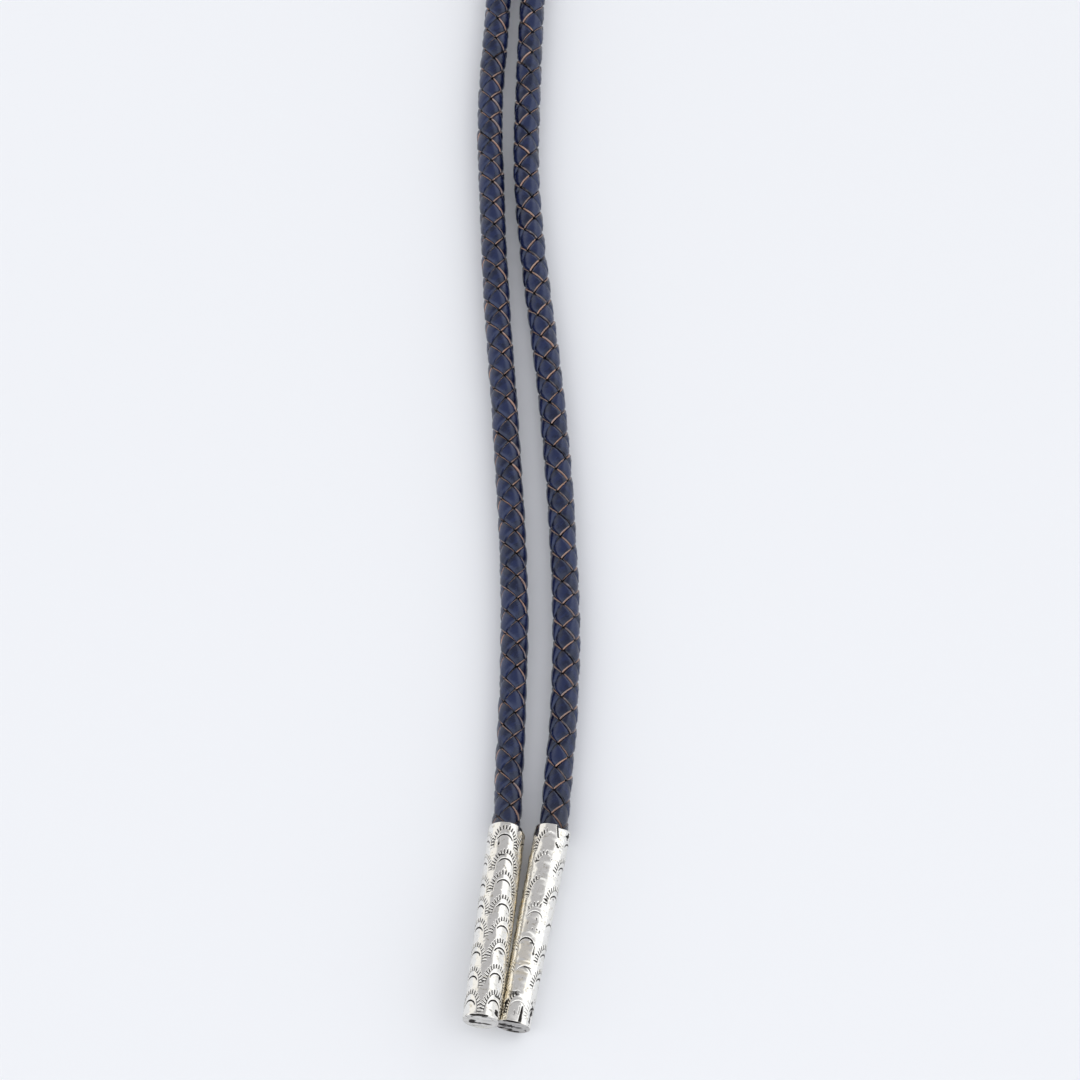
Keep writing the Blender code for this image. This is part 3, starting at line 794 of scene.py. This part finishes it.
# The tip's wall cut lengthwise, as radius and distance from the mouth: from the middle of its inner
# end out over the lip, along the barrel and round to the middle of the end plate.
def tipProfile():
    length, radius, bore = tipShape["length"], tipShape["radius"], tipShape["bore"]
    lip, shoulder, endRound = tipShape["lip"], tipShape["shoulder"], tipShape["endRound"]
    inside = [(ring, tipShape["boreDepth"]) for ring in (0.02, bore * 0.6, bore)]
    inside += [(bore, t) for t in (30.0, 12.0, 3.0, 0.0)] + [(radius - lip, 0.0)]
    barrel = [(radius, t) for t in np.linspace(lip, length - endRound, tipShape["rows"])]
    end = [(radius - shoulder * (1 - math.cos(bend)), length - endRound * (1 - math.sin(bend)))
           for bend in np.radians(np.arange(12, 85, 12))]
    end += [(ring, length - sunk) for ring, sunk in tipShape["endGroove"]]
    end += [(ring, length - tipShape["plateSunk"]) for ring in np.linspace(2.6, 0.02, 14)]
    profile = np.array(inside + barrel + end)
    return profile[:, 0], profile[:, 1], slice(len(inside), len(inside) + len(barrel))


# A closed silver tip: its profile turned about the axis, and its barrel pressed in by the stamps.
def stampedTip(name, tip, rise, material, seed):
    chance = np.random.default_rng(seed)
    length, radius, pits = tipShape["length"], tipShape["radius"], tipShape["pits"]
    r, t, barrel = tipProfile()
    turn = np.linspace(0, math.tau, tipShape["columns"], endpoint=False)
    turnGrid, tGrid = np.meshgrid(turn, t, indexing="xy")
    rGrid = np.repeat(r[:, None], len(turn), 1)
    onBarrel = np.zeros((len(r), 1))
    onBarrel[barrel] = 1
    arc = turnGrid * radius
    ragged = raggedField(turnGrid, tGrid, chance, *tipShape["raggedPitch"])
    fans, crescents, dishes, spots, brownAndGapReflection = (np.zeros_like(arc) for _ in range(5))
    for stamp in tip["stamps"]:
        fan, crescent, dish = struckBy(arc + tipShape["raggedEdge"] * ragged, tGrid, stamp)
        fans, crescents = np.maximum(fans, fan), np.maximum(crescents, crescent)
        dishes = np.maximum(dishes, dish)
    for spot in tip["spots"]:
        spots = np.maximum(spots, spotAt(arc, tGrid, spot, ragged))
    # Small nicks all over, thicker on the side away from the other tip
    awayShare, spread, sizes, strengths = tipShape["nicks"]
    nicks = zip(
        chance.normal(awayShare * tip["gapSide"], spread, pits), chance.uniform(1, length - 2, pits),
        chance.uniform(*sizes, pits), chance.uniform(*strengths, pits))
    for turnAt, tAt, size, strength in nicks:
        nick = (turnAt, tAt, size, size * tipShape["nickTall"], strength * tip["nicked"])
        spots = np.maximum(spots, spotAt(arc, tGrid, nick, ragged))
    depth = tipShape["stampDepth"] * fans + tipShape["crescentDepth"] * crescents
    depth = depth + tipShape["spotDepth"] * spots + tipShape["dishDepth"] * dishes
    dents, ripples = tip["dented"]
    depth = depth + dents * raggedField(turnGrid, tGrid, chance, *tipShape["dentPitch"])
    depth = depth + ripples * raggedField(turnGrid, tGrid, chance, *tipShape["ripplePitch"])
    stain = np.maximum(np.maximum(fans * (0.95 + 0.15 * ragged), crescents), spots)
    stain = np.clip(tipShape["stainMore"] * stain, 0, 1)
    seam = tip["seam"]
    if seam:
        # The notch: a slanting slit open at the mouth, its left side standing a little proud
        x = wayRound(arc - tGrid * math.radians(seam["drift"]) * radius, seam["turn"])
        soft, softAlong = tipShape["notchEdge"]
        slit = softInside(seam["halfWidth"] - np.abs(x), soft) * softInside(seam["depth"] - tGrid, softAlong)
        depth = depth + seam["sunk"] * slit
        stain = np.maximum(stain, slit)
        rises, full, reach = tipShape["notchProud"]
        setBack = seam["setBack"] * np.clip(x / rises, 0, 1) * np.clip(full - x / reach, 0, 1) * (x > 0)
        tGrid = tGrid + setBack * np.clip(1 - tGrid / reach, 0, 1)
    if tip["slit"]:
        slitTurn, start, thin, wide, sunk = tip["slit"]
        share = np.clip((tGrid - start) / (length - start), 0, 1)
        soft, softAlong = tipShape["slitEdge"]
        slit = softInside(thin + (wide - thin) * share - np.abs(wayRound(arc, slitTurn)), soft)
        slit = slit * softInside(tGrid - start, softAlong)
        depth = depth + sunk * slit
        stain = np.maximum(stain, slit)
    rGrid = rGrid - depth * onBarrel
    # The mouth opened a little by the split: wider at the sides, not at the bottom
    atTop, atSides = tipShape["opened"]
    opened = atTop * np.cos(turnGrid / 2) ** 2 + atSides * np.abs(np.sin(turnGrid))
    rGrid = rGrid + tip["flare"] * np.clip(1 - tGrid / tipShape["flareReach"], 0, 1) * opened * (rGrid > 3.0)
    if tip["seamRidge"]:
        # The soldered seam: a low broad ridge along the side, a cosine across, dying out to the end
        ridgeTurn, spread, nearMouth, nearEnd = tip["seamRidge"]
        across = np.cos(np.clip(wayRound(arc, ridgeTurn) / radius / spread, -1, 1) * math.pi / 2) ** 2
        fadeAt, fadeOver = tipShape["ridgeFade"]
        proud = nearMouth + (nearEnd - nearMouth) * softInside(tGrid - fadeAt, fadeOver)
        proud = proud * np.clip((tGrid - 0.15) / 0.8, 0, 1) * np.clip((length - 0.5 - tGrid) / 4, 0, 1)
        rGrid = rGrid + proud * across * onBarrel
    stain = stain * onBarrel
    for spot in tip["browned"]:
        brownAndGapReflection = np.maximum(brownAndGapReflection, spotAt(arc, tGrid, spot, ragged))
    # Painted reflection: the side towards the other tip is browned as if it mirrored that tip and the shaded
    # gap
    fromGap = np.abs(wayRound(arc, tip["gapSide"])) / radius
    atGap, spread, frayed = tipShape["gapReflection"]
    brownAndGapReflection = np.maximum(brownAndGapReflection, np.clip(atGap - fromGap / spread + frayed * ragged, 0, 1))
    brownAndGapReflection = brownAndGapReflection * np.clip((length - 0.6 - tGrid) / 2, 0, 1)
    plate = np.zeros((len(r), 1))
    plate[barrel.stop + 1:] = 1
    right, upward = rGrid * np.sin(turnGrid), rGrid * np.cos(turnGrid)
    frayed, soft = tipShape["endEdge"]
    for x, y, halfWidth, halfHeight, strength in tip["endMarks"]:
        far = np.hypot((right - x) / halfWidth, (upward - y) / halfHeight)
        stain = np.maximum(stain, plate * strength * softInside(1 - far + frayed * ragged, soft))
    further, slant = tip["endSlant"]
    begins, over = tipShape["slantFrom"]
    tGrid = tGrid + (further + slant * upward / radius) * np.clip((tGrid - begins) / over, 0, 1)
    lean = math.radians(tip["lean"])
    axis = np.array([-math.sin(lean) * math.cos(rise), -math.cos(lean) * math.cos(rise), math.sin(rise)])
    up = np.array([0, 0, 1.0]) - axis * axis[2]
    up /= np.linalg.norm(up)
    side = np.cross(up, axis)
    mouth = np.array([*tip["mouth"], radius * math.cos(rise)])
    points = mouth + tGrid[..., None] * axis + (
        (rGrid * np.cos(turnGrid))[..., None] * up + (rGrid * np.sin(turnGrid))[..., None] * side)
    ends = np.zeros_like(arc)
    ends[barrel.stop + 2:] = tip["endDull"]
    return makePiece(name, points.reshape(-1, 3) * mm, closedTube(*arc.shape, flip=True), material, {
        "stain": stain, "brownAndGapReflection": brownAndGapReflection, "endFace": ends})


silver = {
    "bright": (0.92, 0.91, 0.885),
    "dull": (0.83, 0.815, 0.775),
    "mottled": (0.62, 0.585, 0.5),
    "black": (0.03, 0.027, 0.026),
    "scratch": (0.3, 0.295, 0.29),
    # brown stains, and the painted reflection of the other tip on the side towards it
    "brownAndGapReflection": (0.96, 0.865, 0.68),
    "endDull": (0.4, 0.385, 0.375),
    "roughness": 0.13,
    "fine": (1500.0, 3.0),  # scale, detail and roughness of each noise
    "cloudy": (260.0, 3.0),
    "mottle": (1100.0, 4.0, 0.62),
    "scratches": ((130.0, 900.0, 900.0), 1.0, 4.0, 0.65),  # drawn out along x, on the end plate
    "mottleShare": (0.54, 0.74),  # between which numbers each begins and is whole
    "scratchShare": (0.52, 0.66),
    "blackShare": (0.12, 0.8),
    "brownAndGapReflectionShare": (0.25, 0.75, 0.45, 1.0),
    "stainRagged": (0.7, 0.65),
    "roughMore": (0.45, 0.2),  # in the black, and on the end plate
    "bump": (0.1, 0.03),
}


# Tarnished silver: mottled and browned in patches (stains, and a painted reflection of the other tip on
# the side towards it), black where the mesh says that a stamp struck, dull and scratched on the end plate.
def silverMaterial(name):
    material, tree, shader = newMaterial(name, Metallic=1.0)
    place = ownPlace(tree)
    fine, cloudy, mottle = (noise(tree, place, *silver[key]) for key in ("fine", "cloudy", "mottle"))
    stain, brownAndGapReflection, endFace = (readFact(tree, key) for key in ("stain", "brownAndGapReflection", "endFace"))
    raggedness = calculate(tree, "MULTIPLY_ADD", fine, *silver["stainRagged"])
    blackShare = smoothBetween(tree, calculate(tree, "MULTIPLY", stain, raggedness), *silver["blackShare"])
    size, *kind = silver["scratches"]
    scratches = smoothBetween(tree, noise(tree, scaled(tree, place, size), *kind), *silver["scratchShare"])
    # Brown stains and the painted reflection of the other tip, in cloudy patches
    brownAndGapReflectionShare = calculate(tree, "MULTIPLY", brownAndGapReflection, smoothBetween(tree, cloudy, *silver["brownAndGapReflectionShare"]))
    skin = layOver(tree, cloudy, silver["bright"], silver["dull"])
    skin = layOver(tree, smoothBetween(tree, mottle, *silver["mottleShare"]), skin, silver["mottled"])
    skin = layOver(tree, brownAndGapReflectionShare, skin, silver["brownAndGapReflection"])
    skin = layOver(tree, endFace, skin, silver["endDull"])
    skin = layOver(tree, calculate(tree, "MULTIPLY", scratches, endFace), skin, silver["scratch"])
    skin = layOver(tree, blackShare, skin, silver["black"])
    tree.links.new(skin, shader.inputs["Base Color"])
    inBlack, onEnd = silver["roughMore"]
    rough = calculate(tree, "MULTIPLY_ADD", blackShare, inBlack, silver["roughness"])
    rough = calculate(tree, "MULTIPLY_ADD", endFace, onEnd, rough)
    tree.links.new(rough, shader.inputs["Roughness"])
    addBump(tree, shader, fine, *silver["bump"])
    return material


stampedSilver = silverMaterial("stampedSilver")
leftPiece = stampedTip("stampedTipLeft", leftTip, leftRise(), stampedSilver, 3)
rightPiece = stampedTip("stampedTipRight", rightTip, 0.0, stampedSilver, 5)
for piece, node in ((leftPiece, "tip_left"), (rightPiece, "tip_right")):
    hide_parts(node)
    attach(piece, "root")
print("stamped tips:", len(leftPiece.data.polygons), "and", len(rightPiece.data.polygons), "faces")

polished = {
    "bright": (0.76, 0.75, 0.735),
    "cloudy": (0.6, 0.59, 0.57),
    "tarnish": (0.42, 0.36, 0.28),
    "blackened": (0.035, 0.032, 0.03),
    "roughness": (0.16, 0.34),  # where it is rubbed bright, and in the scratches
    "patches": (90.0, 4.0, 0.6),
    "scratches": ((2600.0, 90.0, 2600.0), (0.0, 0.0, 0.35), 1.0, 3.0),
    "rubShare": (0.5, 0.72),
    "patchShare": (0.4, 0.7),
    "bump": (0.12, 0.02),
}


# Polished silver on the slide: bright, cloudy in patches, finely scratched along it, and browned a
# little in the corner where the keeper meets the plate.
def polishedMaterial(name):
    material, tree, shader = newMaterial(name, Metallic=1.0)
    place = ownPlace(tree)
    cloudy = noise(tree, place, *polished["patches"])
    size, rotation, *kind = polished["scratches"]
    scratches = noise(tree, scaled(tree, place, size, rotation), *kind)
    patch = smoothBetween(tree, cloudy, *polished["patchShare"])
    skin = layOver(tree, patch, polished["bright"], polished["cloudy"])
    corner = calculate(tree, "MULTIPLY", readFact(tree, "solder"), cloudy)
    skin = layOver(tree, corner, skin, polished["tarnish"])
    skin = layOver(tree, readFact(tree, "groove"), skin, polished["blackened"])
    tree.links.new(skin, shader.inputs["Base Color"])
    smooth, rough = polished["roughness"]
    rub = smoothBetween(tree, scratches, *polished["rubShare"])
    tree.links.new(calculate(tree, "MULTIPLY_ADD", rub, rough - smooth, smooth), shader.inputs["Roughness"])
    addBump(tree, shader, scratches, *polished["bump"])
    return material


slideShape = {
    "middle": 146.8,  # y of its centre, mm
    "plate": (48.0, 58.0, 1.2),  # width, length, thickness
    "dome": 1.5, "under": 8.0, "edgeRound": 0.3,
    "keeper": (17.2, 16.0, 8.2),  # width, length, height
    "corner": 2.0, "bore": 3.3, "boreApart": 9.0, "edgeCut": 0.2,
    "waver": 0.03,  # how deep its slow dents are
    "groove": (1.9, 0.26, 0.18),  # in from the rim, half width, depth
    "dents": (14, 0.2, 0.62),  # how many waves, and their pitch in radians per mm
    "rings": 120, "columns": 300, "keeperColumns": 144, "rimBends": 15,
    "solder": (2.5, 6.0, 1.8),  # browned: reach on the plate, height where it begins, fade
    "seed": 21,
}


# Slow dents: a sum of waves of one to three centimetres in random directions.
def slowDents(x, y):
    chance = np.random.default_rng(slideShape["seed"])
    count, low, high = slideShape["dents"]
    total = np.zeros(np.broadcast(x, y).shape)
    for heading, pitch, phase in zip(
            chance.uniform(0, math.tau, count), chance.uniform(low, high, count),
            chance.uniform(0, math.tau, count)):
        total += np.sin(pitch * (x * math.cos(heading) + y * math.sin(heading)) + phase)
    return total / math.sqrt(count)


# The domed plate: rings of an ellipse with the height falling as the square of the share of the way
# out, a round rim carried out along the ellipse's normal, and the same rings back under it.
def domedPlate():
    width, length, thickness = slideShape["plate"]
    edge, dome, under = slideShape["edgeRound"], slideShape["dome"], slideShape["under"]
    turn = np.linspace(0, math.tau, slideShape["columns"], endpoint=False)[None, :]
    share = np.linspace(0.004, 1.0, slideShape["rings"])[:, None]
    ringX, ringY = (width / 2 - edge) * np.cos(turn), (length / 2 - edge) * np.sin(turn)
    outX, outY = np.cos(turn) / width, np.sin(turn) / length
    outX, outY = outX / np.hypot(outX, outY), outY / np.hypot(outX, outY)
    fall = dome * share**2 + 0 * turn
    x, y = share * ringX, share * ringY
    waver = slideShape["waver"] * slowDents(x, y)
    inFrom, halfWidth, deep = slideShape["groove"]
    groove = softInside(halfWidth - np.abs((1 - share) * width / 2 - inFrom), 0.2) + 0 * turn
    height = under + thickness - fall + waver * np.clip((1 - share) * 8, 0, 1) - deep * groove
    top = np.stack([x, y, height], axis=-1)
    bend = np.radians(np.linspace(82, -82, slideShape["rimBends"]))[:, None]
    middle = under - dome + thickness / 2
    straight = np.sign(np.sin(bend)) * (thickness / 2 - edge)
    rim = np.stack([
        ringX + edge * np.cos(bend) * outX, ringY + edge * np.cos(bend) * outY,
        middle + straight + edge * np.sin(bend) + 0 * turn], axis=-1)
    below = np.stack([share * ringX, share * ringY, under - fall], axis=-1)[::-1]
    grid = np.concatenate([top, rim, below])
    solder = np.zeros(grid.shape[:2])
    keeperWidth, keeperLength, _ = slideShape["keeper"]
    near = np.maximum(np.abs(below[..., 0]) - keeperWidth / 2, np.abs(below[..., 1]) - keeperLength / 2)
    solder[-len(below):] = np.clip(1 - near / slideShape["solder"][0], 0, 1)
    blackened = np.zeros(grid.shape[:2])
    blackened[:len(top)] = groove
    return grid.reshape(-1, 3), closedTube(*grid.shape[:2], flip=True), solder.ravel(), blackened.ravel()


# Half of the keeper: a bore in a block with two round corners. Round the bore, each ray runs from the
# bore out to the nearest of the block's sides or its corner's arc; the section goes once round the wall.
def keeperHalf(side, first):
    width, length, height = slideShape["keeper"]
    half, corner, cut = height / 2, slideShape["corner"], slideShape["edgeCut"]
    bore, middle = slideShape["bore"], slideShape["boreApart"] / 2
    ray = np.linspace(0, math.tau, slideShape["keeperColumns"], endpoint=False)
    c, n = np.cos(ray), np.abs(np.sin(ray))
    sideways = np.where(c > 0, (width / 2 - middle), middle) / np.maximum(np.abs(c), 1e-6)
    reach = np.minimum(sideways, half / np.maximum(n, 1e-6))
    inX, inZ = width / 2 - middle - corner, half - corner
    toward = inX * c + inZ * n
    arc = toward + np.sqrt(np.maximum(toward**2 - inX**2 - inZ**2 + corner**2, 0))
    reach = np.where((arc * c > inX) & (arc * n > inZ), arc, reach)
    back = length / 2
    wall = np.full_like(reach, bore)
    far = np.stack([wall, wall, wall + cut, reach - cut, reach, reach, reach - cut, wall + cut])
    along = np.array([cut - back, back - cut, back, back, back - cut, cut - back, -back, -back])[:, None]
    x = side * (middle + far * c)
    z = half + far * np.sin(ray)
    grid = np.stack([x, along + 0 * far, z], axis=-1)
    quads = ringQuads(len(grid), len(ray), first, flip=side < 0)
    closing = ringQuads(2, len(ray), 0, flip=side < 0)
    closing = np.where(closing < len(ray), closing + (len(grid) - 1) * len(ray), closing - len(ray)) + first
    _, browned, fade = slideShape["solder"]
    return grid.reshape(-1, 3), quads.tolist() + closing.tolist(), np.clip((z - browned) / fade, 0, 1).ravel()


# The plate and the keeper's two halves, set over the runs.
def polishedSlide(material):
    points, faces, solder, groove = domedPlate()
    for side in (1, -1):
        morePoints, moreFaces, moreSolder = keeperHalf(side, len(points))
        points, solder = np.vstack([points, morePoints]), np.concatenate([solder, moreSolder])
        faces += moreFaces
    points = (points + (0, slideShape["middle"], 0)) * mm
    groove = np.concatenate([groove, np.zeros(len(points) - len(groove))])
    piece = makePiece("polishedSlide", points, faces, material, {"solder": solder, "groove": groove})
    piece.data.set_sharp_from_angle(angle=math.radians(32))
    return piece


slidePiece = polishedSlide(polishedMaterial("polishedSilver"))
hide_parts("slide")
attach(slidePiece, "root")
print("polished slide:", len(slidePiece.data.polygons), "faces")
